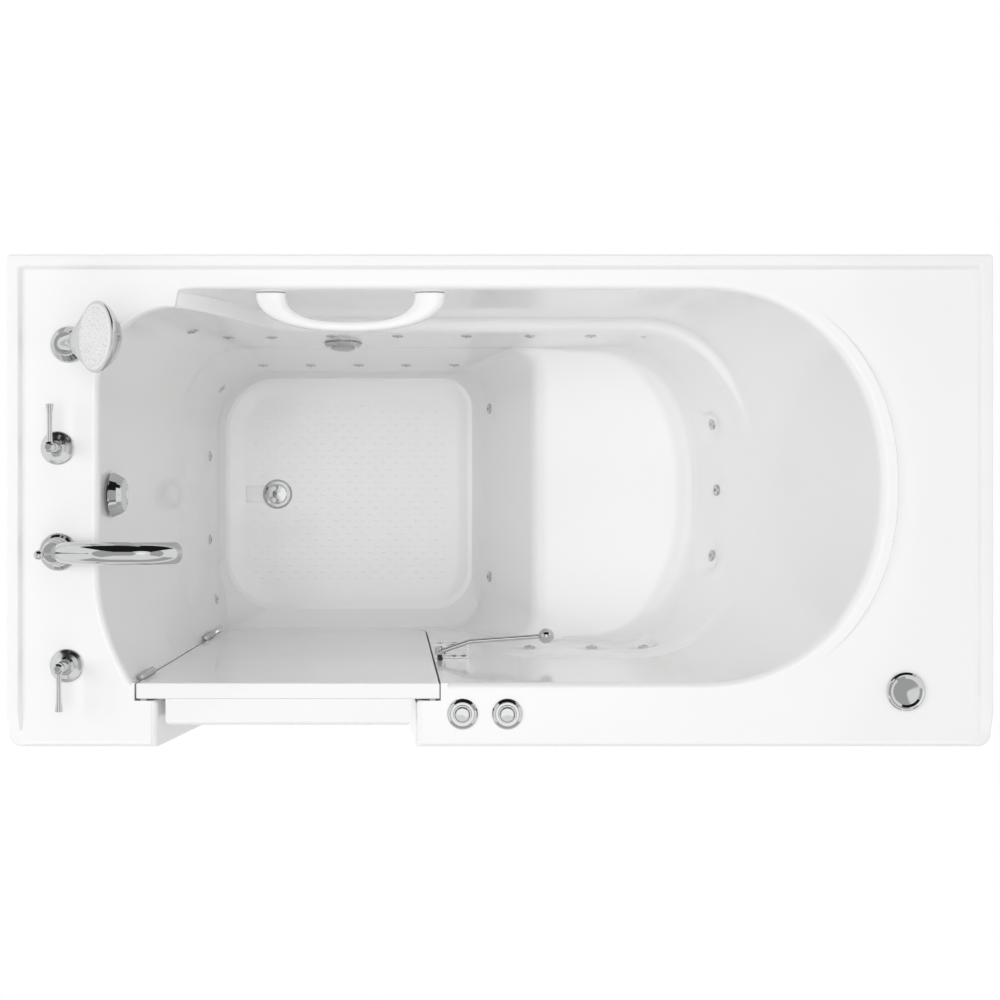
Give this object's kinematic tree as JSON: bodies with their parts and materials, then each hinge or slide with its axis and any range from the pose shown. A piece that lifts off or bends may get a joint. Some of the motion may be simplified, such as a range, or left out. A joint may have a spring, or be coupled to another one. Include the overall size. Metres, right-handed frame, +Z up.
{
  "type": "walk-in bathtub with door",
  "caption": "Deep seated bathtub with an inward-opening side door and latch, air jets, deck-mounted taps, hand shower, drain, and a levelling frame.",
  "frame": {"origin": "bottom centre of the bounding box, on the floor", "axes": "+X along the tub from the taps to the backrest, +Y from the door side to the wall side, +Z up"},
  "size_m": [1.524, 0.762, 1.1217],
  "materials": {
    "acrylic": "high-gloss white moulded acrylic",
    "door_acrylic": "high-gloss white moulded acrylic",
    "panel": "gloss white sheet",
    "gasket": "soft black seal",
    "frame_steel": "stainless square tube",
    "steel": "satin stainless steel",
    "rubber": "matt black rubber",
    "chrome": "polished chrome plate",
    "brass": "machined brass",
    "white_plastic": "smooth white plastic",
    "grey_plastic": "dark grey plastic",
    "lens": "frosted clear plastic"
  },
  "bodies": {
    "tub": {"tub_shell": "acrylic", "door_frame": "acrylic", "door_gasket": "gasket", "front_apron": "panel", "apron_screws": "steel", "grab_bar": "acrylic", "support_frame": "frame_steel", "foot_studs": "steel", "foot_pads": "rubber", "foot_nuts": "steel", "hinge_frame_leaves": "steel", "hinge_pins": "steel", "latch_bracket": "chrome", "latch_screws": "steel", "latch_pin": "chrome", "hot_valve_body": "chrome", "cold_valve_body": "chrome", "valve_nuts": "brass", "spout": "chrome", "shower_cradle": "chrome", "drain_flange": "chrome", "drain_shoe": "grey_plastic", "overflow_body": "grey_plastic", "overflow_pipe": "grey_plastic", "jets_back_upper": "chrome", "jets_back_lower": "chrome", "jets_seat_riser": "chrome", "jets_left_wall": "chrome", "jets_backrest": "chrome", "jets_front_seat": "chrome", "jet_nuts": "grey_plastic", "light_bezel": "chrome", "light_lens": "lens", "button_bezels": "chrome", "canister_cup": "white_plastic", "air_blower": "grey_plastic", "air_manifold": "white_plastic"},
    "door": {"hinge_door_leaves": "steel", "door_inner_panel": "door_acrylic", "door_outer_cover": "door_acrylic"},
    "latch": {"latch_hub": "chrome", "latch_pad": "rubber", "latch_rod": "chrome", "latch_ball": "chrome"},
    "hot_handle": {"hot_lever": "chrome"},
    "cold_handle": {"cold_lever": "chrome"},
    "diverter": {"diverter_knob": "chrome"},
    "shower": {"hand_shower": "chrome", "shower_face": "white_plastic"},
    "overflow_handle": {"overflow_knob": "chrome"},
    "stopper": {"drain_stopper": "chrome"},
    "left_air_button": {"left_button": "chrome"},
    "right_air_button": {"right_button": "chrome"},
    "cap": {"canister_cap": "chrome"}
  },
  "joints": [
    {"name": "door_hinge", "type": "hinge", "parent": "tub", "child": "door", "pos_m": [-0.5652, -0.2785, 0.95709], "axis": [0, -0.0249, 0.9997], "range_deg": [0, 80]},
    {"name": "latch_turn", "type": "hinge", "parent": "tub", "child": "latch", "pos_m": [-0.10403, -0.26099, 0.65543], "axis": [0, -0.9997, -0.0249], "range_deg": [0, 90]},
    {"name": "hot_turn", "type": "hinge", "parent": "tub", "child": "hot_handle", "pos_m": [-0.685, 0.082, 0.957], "axis": [0, 0, -1], "range_deg": [0, 90]},
    {"name": "cold_turn", "type": "hinge", "parent": "tub", "child": "cold_handle", "pos_m": [-0.671, -0.255, 0.957], "axis": [0, 0, 1], "range_deg": [0, 90]},
    {"name": "diverter_pull", "type": "slide", "parent": "tub", "child": "diverter", "axis": [0, 0, 1], "range_m": [0, 0.012]},
    {"name": "shower_lift", "type": "slide", "parent": "tub", "child": "shower", "axis": [0, 0, 1], "range_m": [0, 0.12]},
    {"name": "overflow_turn", "type": "hinge", "parent": "tub", "child": "overflow_handle", "pos_m": [-0.61891, 0.0095, 0.897], "axis": [1, 0, 0], "range_deg": [0, 90]},
    {"name": "stopper_lift", "type": "slide", "parent": "tub", "child": "stopper", "axis": [0, 0, 1], "range_m": [0, 0.01]},
    {"name": "left_press", "type": "slide", "parent": "tub", "child": "left_air_button", "axis": [0, 0, -1], "range_m": [0, 0.003], "stiffness_N_per_m": 300, "springref_m": -0.003},
    {"name": "right_press", "type": "slide", "parent": "tub", "child": "right_air_button", "axis": [0, 0, -1], "range_m": [0, 0.003], "stiffness_N_per_m": 300, "springref_m": -0.003},
    {"name": "cap_lift", "type": "slide", "parent": "tub", "child": "cap", "axis": [0, 0, 1], "range_m": [0, 0.06]}
  ],
  "couplings": [
    {"joint": "stopper_lift", "follows": "overflow_turn", "m_per_rad": 0.00636}
  ]
}
